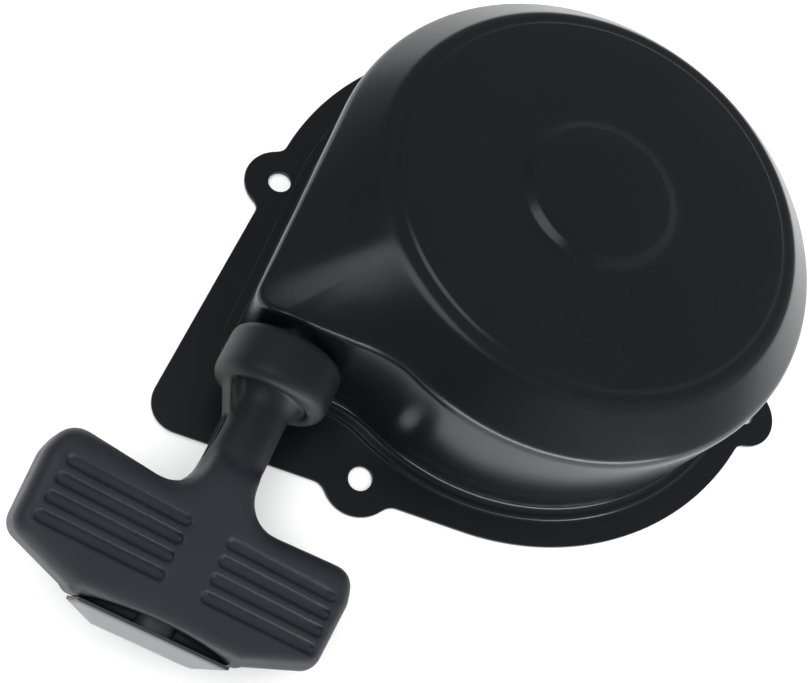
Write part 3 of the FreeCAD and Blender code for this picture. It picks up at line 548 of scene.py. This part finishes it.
def roof_lines():
    """Foot and top points of the straight lines that make the sloping roof."""
    shoulder_radius = DOME_RADIUS - SHOULDER_HEIGHT * DRAFT
    slope = (shoulder_radius - TOP_RADIUS) / (TOP_HEIGHT - SHOULDER_HEIGHT)
    foot = SHOULDER_HEIGHT - ROOF_DEPTH
    foot_radius = shoulder_radius + (SHOULDER_HEIGHT - foot) * slope
    top_y = TOP_RADIUS * math.sin(FRONT_ON_RIM)
    wall_y = SNOUT_FRONT - SNOUT_HEIGHT * DRAFT
    foot_front = top_y + (wall_y - top_y) * (TOP_HEIGHT - foot) / (TOP_HEIGHT - SNOUT_HEIGHT)
    parts, join = snout_outline(foot_radius, foot_front, 2 * SNOUT_CORNER, ROOF_BLEND)
    turns = [join - 2 * math.pi, math.pi + LEAN, *CORNER_ON_RIM, join - BLEND_ON_RIM, join]
    low, high = [], []
    for part, count, start, stop in zip(parts, ROOF_COUNTS, turns, turns[1:]):
        for step in range(count):
            share = step / count
            turn = start + (stop - start) * share
            low.append([*part(share), foot])
            high.append([TOP_RADIUS * math.cos(turn), TOP_RADIUS * math.sin(turn), TOP_HEIGHT])
    return np.array(low), np.array(high)


def roof_meeting(low, high, inset, drop):
    """For each wall station, where its wall meets the roof, and the top point of that roof line."""
    base = wall_points(inset, 0.0)
    above = wall_points(inset, WALL_TOP)
    meets, tops = [], []
    lift = np.array([0, 0, -drop])
    for start, stop in zip(base, above):
        height = SHOULDER_HEIGHT - drop
        for _ in range(MEETING_PASSES):
            spot = start + (stop - start) * height / WALL_TOP
            share = (height + drop - low[0, 2]) / (TOP_HEIGHT - low[0, 2])
            line = low + (high - low) * share
            gap = line[:, :2] - spot
            nearest = int(np.argmin((gap ** 2).sum(axis=1)))
            run = high[nearest] - low[nearest]
            toward = run[:2] / np.linalg.norm(run[:2])
            rise = run[2] / np.linalg.norm(run[:2])
            miss = float(np.dot(spot - line[nearest, :2], toward))
            height += miss * rise / (1 + rise * DRAFT)
        after = (nearest + 1) % len(low)
        before = (nearest - 1) % len(low)
        side = line[after, :2] - line[before, :2]
        slide = float(np.dot(spot - line[nearest, :2], side) / np.dot(side, side)) * 2
        other = after if slide > 0 else before
        top = high[nearest] + (high[other] - high[nearest]) * min(abs(slide), 1.0)
        meets.append([*spot, height])
        tops.append(top + lift)
    return np.array(meets), np.array(tops)


def rounded(before, corner, after, radius, steps):
    """Points of a smooth turn at each corner between the lines from before and to after."""
    enter = before - corner
    leave = after - corner
    enter *= (radius / np.linalg.norm(enter, axis=1))[:, None]
    leave *= (radius / np.linalg.norm(leave, axis=1))[:, None]
    rings = []
    for step in range(steps + 1):
        s = step / steps
        rings.append(corner + enter * (1 - s) ** 2 + leave * s ** 2)
    return rings


def level_ring(points, height):
    """A ring of plan points at one height."""
    return np.column_stack([points, np.full(len(points), height)])


def root_rings(inset):
    """Rings through the ledge, which only the outer face has, and the bend into the wall."""
    out = outward(wall_points(inset, 0.0))
    floor, bend = (0.0, INNER_ROOT_BEND) if inset else (STEEL + LEDGE_RISE, ROOT_BEND)
    rings = []
    for reach, rise in [] if inset else LEDGE:
        rings.append(level_ring(wall_points(inset, floor) + out * reach, STEEL + rise))
    for step in range(BEND_STEPS + 1):
        turn = 0.5 * math.pi * step / BEND_STEPS
        reach = bend * (1 - math.sin(turn))
        height = floor + bend * (1 - math.cos(turn))
        rings.append(level_ring(wall_points(inset, height) + out * reach, height))
    return rings


def top_profile(inset, flat):
    """Radius and height over the top: its step, the boss and nearly to the middle."""
    edge = STEP_RADIUS - inset
    foot = BOSS_RADIUS - inset
    crest = BOSS_CREST - inset
    step = flat + STEP_RISE
    boss = step + BOSS_RISE
    return [(edge + 0.9, flat), (edge + 0.35, flat + 0.08),
            (edge - 0.15, flat + STEP_RISE * 0.5), (edge - 0.6, flat + STEP_RISE * 0.93),
            (edge - 1.2, step), (58, step), (48, step), (38, step), (30, step),
            (foot + 1.2, step), (foot + 0.4, step + 0.1), (foot - 0.3, step + 0.42),
            (crest + 0.9, boss - 0.55), (crest + 0.2, boss - 0.14), (crest - 0.7, boss),
            (16, boss), (8, boss), (2, boss)]


def skin(inset):
    """Rings of one face of the pressing, from the flange up the wall and over to the middle."""
    low, high = roof_lines()
    slope = (DOME_RADIUS - SHOULDER_HEIGHT * DRAFT - TOP_RADIUS) / (TOP_HEIGHT - SHOULDER_HEIGHT)
    drop = inset * math.sqrt(1 + slope * slope) / slope
    meets, tops = roof_meeting(low, high, inset, drop)
    rings = root_rings(inset)
    start = rings[-1]
    soft = rounded(start, meets, tops, SHOULDER_ROUND, BEND_STEPS)
    rings += [start + (soft[0] - start) * share for share in WALL_SHARES]
    rings += soft
    flat = TOP_HEIGHT - inset
    crown = tops.copy()
    if inset:
        share = (flat - meets[:, 2]) / (tops[:, 2] - meets[:, 2])
        crown = meets + (tops - meets) * share[:, None]
    aim = crown.copy()
    aim[:, :2] *= TOWARDS_MIDDLE
    brow = rounded(soft[-1], crown, aim, BROW_ROUND, BROW_STEPS)
    rings += [soft[-1] + (brow[0] - soft[-1]) * share for share in ROOF_SHARES]
    rings += brow
    turn = np.arctan2(crown[:, 1], crown[:, 0])
    around = np.column_stack([np.cos(turn), np.sin(turn)])
    rings += [level_ring(around * radius, height) for radius, height in top_profile(inset, flat)]
    return rings


def flange_edge():
    """The flange's outer boundary: circle, square skirt and ears with blended throats."""
    touch_turn = 1.5 * math.pi + SKIRT_SLOPE
    touch = FLANGE_RADIUS * np.array([math.cos(touch_turn), math.sin(touch_turn)])

    def inside(x, y):
        """Distance outside the union of plain shapes, negative inside it."""
        disc = np.hypot(x, y) - FLANGE_RADIUS
        nx, ny = math.sin(SKIRT_SLOPE), -math.cos(SKIRT_SLOPE)
        below = (x - touch[0]) * nx + (y - touch[1]) * ny
        left = -x - SKIRT_LEFT
        cx = left + SKIRT_ROUND
        cy = below + SKIRT_ROUND
        rounded_corner = np.hypot(cx, cy) - SKIRT_ROUND
        square = np.where((cx > 0) & (cy > 0), rounded_corner, np.maximum(left, below))
        square = np.maximum(square, np.maximum(x - touch[0], y - SKIRT_TOP))
        shape = np.minimum(disc, square)
        for ear_x, ear_y in EARS:
            ear = np.hypot(x - ear_x, y - ear_y) - EAR_RADIUS
            mix = np.clip(0.5 + 0.5 * (shape - ear) / EAR_THROAT, 0, 1)
            shape = shape * (1 - mix) + ear * mix - EAR_THROAT * mix * (1 - mix)
        return shape

    turns = np.linspace(0, 2 * math.pi, RIM_STATIONS + 1)[:-1]
    near = np.full(RIM_STATIONS, 0.6 * FLANGE_RADIUS)
    far = np.full(RIM_STATIONS, 1.9 * FLANGE_RADIUS)
    for _ in range(RIM_PASSES):
        middle = (near + far) / 2
        solid = inside(middle * np.cos(turns), middle * np.sin(turns)) < 0
        near = np.where(solid, middle, near)
        far = np.where(solid, far, middle)
    reach = (near + far) / 2
    return np.column_stack([reach * np.cos(turns), reach * np.sin(turns)])


def plate_rim(points, bulge, way):
    """Rings over the thickness of a cut sheet edge, slightly rounded, from under to over."""
    out = outward(points) * way
    rings = []
    for reach, height in ((-bulge, 0.0), (-0.3 * bulge, 0.3 * bulge), (0, bulge),
                          (0, STEEL - bulge), (-0.3 * bulge, STEEL - 0.3 * bulge), (-bulge, STEEL)):
        edge = points + out * reach
        rings.append(level_ring(edge, height))
    return rings


def join_rings(verts, faces, rings, flip=False):
    """Adds closed rings to a mesh, each joined to the one before, and returns their first indices."""
    starts = []
    for ring in rings:
        starts.append(len(verts))
        verts.extend(ring.tolist())
    count = len(rings[0])
    for one, other in zip(starts, starts[1:]):
        for index in range(count):
            after = (index + 1) % count
            quad = (one + index, one + after, other + after, other + index)
            faces.append(quad[::-1] if flip else quad)
    return starts


def cap_between(verts, faces, loops, flip):
    """Fills the flat region inside the first loop and outside the others with triangles."""
    shapes = [[Vector(verts[start + index]) for index in range(count)] for start, count in loops]
    index_of = [start + index for start, count in loops for index in range(count)]
    for triangle in tessellate_polygon(shapes):
        ids = [index_of[corner] for corner in triangle]
        a, b, c = (np.array(verts[i][:2]) for i in ids)
        turn = (b[0] - a[0]) * (c[1] - a[1]) - (b[1] - a[1]) * (c[0] - a[0])
        if (turn > 0) == flip:
            ids.reverse()
        faces.append(tuple(ids))


def pressed_housing():
    """The whole pressing: outer skin, inner skin, flange with ears and holes."""
    verts, faces = [], []
    outer = join_rings(verts, faces, skin(0.0))
    inner = join_rings(verts, faces, skin(STEEL), flip=True)
    count = sum(COUNTS)
    for start, flip in ((outer[-1], False), (inner[-1], True)):
        middle = len(verts)
        verts.append([0.0, 0.0, verts[start][2]])
        for index in range(count):
            after = start + (index + 1) % count
            triangle = (start + index, after, middle)
            faces.append(triangle[::-1] if flip else triangle)
    edge = flange_edge()
    rim = join_rings(verts, faces, plate_rim(edge, EDGE_ROUND, 1))
    over = [(rim[-1], len(edge)), (outer[0], count)]
    under = [(rim[0], len(edge)), (inner[0], count)]
    turns = np.linspace(0, 2 * math.pi, HOLE_SIDES + 1)[:-1]
    for ear_x, ear_y in EARS:
        hole = np.column_stack([ear_x + EAR_HOLE * np.cos(turns), ear_y + EAR_HOLE * np.sin(turns)])
        walls = join_rings(verts, faces, plate_rim(hole, HOLE_ROUND, -1), flip=True)
        over.append((walls[-1], HOLE_SIDES))
        under.append((walls[0], HOLE_SIDES))
    cap_between(verts, faces, over, False)
    cap_between(verts, faces, under, True)
    in_metres = [[value * MM for value in spot] for spot in verts]
    return mesh_object("pressed_housing", in_metres, faces, BLACK_PAINT, HOUSING_CRISP)


def level_faces_flat(housing):
    """Keeps the flange's two level faces free of the shading of their rounded rims."""
    for polygon in housing.data.polygons:
        if abs(polygon.normal.z) > 0.9999 and polygon.center.z < 2 * STEEL * MM:
            polygon.use_smooth = False


def cut_guide_hole(housing):
    """Opens the front wall for the rope guide with a round cutter along the guide's axis."""
    low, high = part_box("rope_guide")
    centre = (low + high) / 2
    bpy.ops.mesh.primitive_cylinder_add(radius=GUIDE_HOLE * MM, depth=GUIDE_CUT * MM, vertices=48,
                                        location=centre, rotation=(math.radians(90), 0, 0))
    cutter = bpy.context.object
    hole = housing.modifiers.new("guide_hole", "BOOLEAN")
    hole.object = cutter
    hole.solver = "EXACT"
    applied(housing)
    bpy.data.objects.remove(cutter)
    shade(housing, HOUSING_CRISP)
    level_faces_flat(housing)


housing = pressed_housing()
cut_guide_hole(housing)
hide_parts("housing_shell")
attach(housing, "housing")


# ------------------------------------------------------------------ handle

def softened_copy(node, name, voxel, material):
    """A moulded copy of a CAD piece in one even mesh."""
    made = nodes[node].copy()
    made.data = nodes[node].data.copy()
    made.name = name
    made.parent = None
    bpy.context.collection.objects.link(made)
    made.hide_render = False
    made.hide_viewport = False
    for key in list(made.keys()):
        del made[key]
    made.data.materials.clear()
    made.data.materials.append(material)
    even = made.modifiers.new("even", "REMESH")
    even.mode = "VOXEL"
    even.voxel_size = voxel
    return applied(made)


def ease(thing, passes, weight=None):
    """Smooths a mesh; weight gives each vertex's share from its place, or everywhere alike."""
    soft = thing.modifiers.new("ease", "SMOOTH")
    soft.factor = 0.5
    soft.iterations = passes
    if weight:
        group = thing.vertex_groups.new(name="ease")
        for vertex in thing.data.vertices:
            share = weight(vertex.co)
            if share > 0:
                group.add([vertex.index], share, "REPLACE")
        soft.vertex_group = "ease"
    applied(thing)
    thing.vertex_groups.clear()


def on_handle(x, y, z):
    """A point given about the rope line, in millimetres, as it lies on the seated handle."""
    turn = math.radians(GRIP_TURN)
    return Vector((ROPE_X + x * math.cos(turn) + z * math.sin(turn), y,
                   ROPE_Z - x * math.sin(turn) + z * math.cos(turn))) * MM


def close_up_rear(thing):
    """Brings the bar's flat rear out to the cap, which the rubber bears on."""
    for vertex in thing.data.vertices:
        past = (-vertex.co.y / MM - GRIP_BACK + REAR_BEARING) / REAR_BEARING
        vertex.co.y -= min(max(past, 0.0), 1.0) * REAR_BEARING * MM


def add_flash(thing, lines):
    """Adds thin parting ridges along the stem: an angle round it, and where each starts and stops.

    Each is an open strip whose sides run down inside the rubber.
    """
    joined = bmesh.new()
    joined.from_mesh(thing.data)
    for angle, start, stop in lines:
        rows = []
        for y in np.linspace(start, stop, FLASH_STATIONS):
            share = math.sin(math.pi * (y - start) / (stop - start)) ** 0.3
            row = []
            for side, rise in FLASH_SECTION:
                turn = math.radians(angle) + side * FLASH_WIDTH / STEM_RADIUS
                reach = STEM_RADIUS - FLASH_ROOT + (rise + FLASH_ROOT) * share
                row.append(joined.verts.new(on_handle(reach * math.cos(turn), y,
                                                      reach * math.sin(turn))))
            rows.append(row)
        for one, other in zip(rows, rows[1:]):
            for side in range(len(FLASH_SECTION) - 1):
                joined.faces.new((one[side], one[side + 1], other[side + 1], other[side]))
    bmesh.ops.recalc_face_normals(joined, faces=joined.faces)
    joined.to_mesh(thing.data)
    joined.free()


def neck_share(spot):
    """Full easing from the collar's front to the root of the wings, less over the bar."""
    y = spot.y / MM
    into = min(max((y + GRIP_FRONT + NECK_FADE) / NECK_FADE, 0), 1)
    out = min(max((-y - COLLAR_FRONT + COLLAR_LAP) / COLLAR_FADE, 0), 1)
    return into * out


# The handle's sizes in millimetres, and its angle about the rope line as it is seated. The parting
# ridges are an angle round the stem and the Y of each end.
ROPE_X = -65.0
ROPE_Z = 26.5
GRIP_TURN = 17.0
STEM_RADIUS = 9.0
FLASH_RISE = 0.35
FLASH_WIDTH = 0.8
FLASH_ROOT = 1.5
FLASH_SECTION = ((-0.5, -FLASH_ROOT), (-0.16, FLASH_RISE), (0.16, FLASH_RISE), (0.5, -FLASH_ROOT))
FLASH_STATIONS = 24
FLASH_LINES = [(176.0, -96.0, -125.0), (167.0, -96.0, -121.0)]
COLLAR_FRONT = 96.7
GRIP_FRONT = 131.9
GRIP_BACK = 166.4
REAR_BEARING = 0.65
GRIP_VOXEL = 0.5
GRIP_CRISP = 60.0
EASE_ALL = 6
EASE_NECK = 70
NECK_FADE = 8.0
COLLAR_LAP = 6.0
COLLAR_FADE = 4.0

grip = softened_copy("grip", "moulded_grip", GRIP_VOXEL * MM, GRIP_RUBBER)
ease(grip, EASE_ALL)
ease(grip, EASE_NECK, neck_share)
close_up_rear(grip)
add_flash(grip, FLASH_LINES)
shade(grip, GRIP_CRISP)
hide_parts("grip")
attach(grip, "handle")


# ------------------------------------------------------------------ rope

# The rope's sizes in millimetres, and the handle's travel in metres. The rope pays out from a short
# stretch just outside the guide.
ROPE_RADIUS = 2.25
ROPE_SIDES = 28
ROPE_STEP = 1.0
SLACK_GAP = 0.5
SLACK_LENGTH = 5.0
SLACK_STATIONS = 260
PULL = 1.2


def rope_stations(back, front, slack_back, slack_front):
    """Places along the rope: even steps, and many close together where it pays out."""
    step = ROPE_STEP * MM
    stops = list(np.arange(back, slack_back, -step))
    stops += list(np.linspace(slack_back, slack_front, SLACK_STATIONS))
    stops += list(np.arange(slack_front - step, front, -step)) + [front]
    return stops


def paid_out(y, slack_back, slack_front):
    """Share of the handle's travel that the rope has at this place."""
    share = min(max((slack_back - y) / (slack_back - slack_front), 0.0), 1.0)
    return share * share * (3 - 2 * share)


def rope_tube():
    """The straight rope from the reel to the knot, with close rings where its middle would pay out
    and its plait laid for the length it has with the handle pulled.
    """
    low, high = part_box("rope_run")
    centre = (low + high) / 2
    slack_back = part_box("rope_guide")[0].y - SLACK_GAP * MM
    slack_front = slack_back - SLACK_LENGTH * MM
    stops = rope_stations(high.y, low.y, slack_back, slack_front)
    made = bmesh.new()
    map_layer = made.loops.layers.uv.new("UVMap")
    rings = []
    for y in stops:
        ring = []
        for side in range(ROPE_SIDES):
            turn = 2 * math.pi * side / ROPE_SIDES
            ring.append(made.verts.new((centre.x + ROPE_RADIUS * MM * math.cos(turn), y,
                                        centre.z + ROPE_RADIUS * MM * math.sin(turn))))
        rings.append(ring)
    reach = [-y + PULL * paid_out(y, slack_back, slack_front) for y in stops]
    for one in range(len(stops) - 1):
        for side in range(ROPE_SIDES):
            after = (side + 1) % ROPE_SIDES
            face = made.faces.new((rings[one][side], rings[one][after],
                                   rings[one + 1][after], rings[one + 1][side]))
            face.smooth = True
            spots = ((one, side), (one, side + 1), (one + 1, side + 1), (one + 1, side))
            for loop, (row, column) in zip(face.loops, spots):
                loop[map_layer].uv = (reach[row], column / ROPE_SIDES)
    made.faces.new(list(reversed(rings[0])))
    made.faces.new(rings[-1])
    made.normal_update()
    mesh = bpy.data.meshes.new("pull_rope")
    made.to_mesh(mesh)
    made.free()
    mesh.materials.append(ROPE_FIBRE)
    rope = bpy.data.objects.new("pull_rope", mesh)
    bpy.context.collection.objects.link(rope)
    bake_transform(rope)
    return rope


rope = rope_tube()
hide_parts("rope_run")


# ------------------------------------------------------------------ pieces that keep their CAD shape

FINISHES = {
    "grip_cap": CAP_PLASTIC, "grip_core": PLAIN_STEEL, "knot_washer": PLAIN_STEEL,
    "centre_post": PLAIN_STEEL, "rope_guide": PLAIN_STEEL, "spring_keeper": PLAIN_STEEL,
    "mainspring": SPRING_STEEL, "friction_spring": SPRING_STEEL, "reel": REEL_PLASTIC,
    "reel_bush": BUSH_BRASS, "pawl_studs": PLAIN_STEEL, "pawl_1": PLAIN_STEEL,
    "pawl_2": PLAIN_STEEL, "friction_plate": PLAIN_STEEL, "thrust_washer": PLAIN_STEEL,
    "brake_washer": PLAIN_STEEL, "centre_nut": PLAIN_STEEL,
    "rope_winding": WOUND_ROPE, "reel_knot": WOUND_ROPE, "handle_knot": WOUND_ROPE,
}
# Widths in millimetres of the eased edges of these pieces.
EASED_EDGES = {"grip_cap": 0.5, "reel": 0.4, "centre_nut": 0.4, "pawl_1": 0.35, "pawl_2": 0.35,
               "centre_post": 0.3, "friction_plate": 0.25, "thrust_washer": 0.2,
               "brake_washer": 0.2, "rope_guide": 0.4}


def dress(name, material):
    """Gives a CAD piece its finish, smooth round faces and eased edges."""
    piece = nodes[name]
    for place in piece.material_slots:
        place.material = material
    if name in EASED_EDGES:
        bevel = piece.modifiers.new("eased_edges", "BEVEL")
        bevel.width = EASED_EDGES[name] * MM
        bevel.segments = 2
        bevel.limit_method = "ANGLE"
        bevel.angle_limit = math.radians(40)
        bevel.harden_normals = False
    smooth = piece.modifiers.new("even_normals", "WEIGHTED_NORMAL")
    smooth.keep_sharp = True


for name, material in FINISHES.items():
    dress(name, material)


# ------------------------------------------------------------------ floor

FLOOR_HALF = 3.0


def floor_material():
    """A nearly white matt floor with a little light of its own."""
    material = bpy.data.materials.new("pale_floor")
    material.use_nodes = True
    shader = material.node_tree.nodes["Principled BSDF"]
    shader.inputs["Base Color"].default_value = (0.92, 0.92, 0.92, 1.0)
    shader.inputs["Roughness"].default_value = 0.9
    shader.inputs["Emission Color"].default_value = (1.0, 1.0, 1.0, 1.0)
    shader.inputs["Emission Strength"].default_value = 0.15
    return material


def lay_floor():
    """A flat floor under the flange."""
    half = FLOOR_HALF
    low = cad_box[0].z
    corners = [(-half, -half, low), (half, -half, low), (half, half, low), (-half, half, low)]
    floor = mesh_object("floor", corners, [(0, 1, 2, 3)], floor_material())


lay_floor()
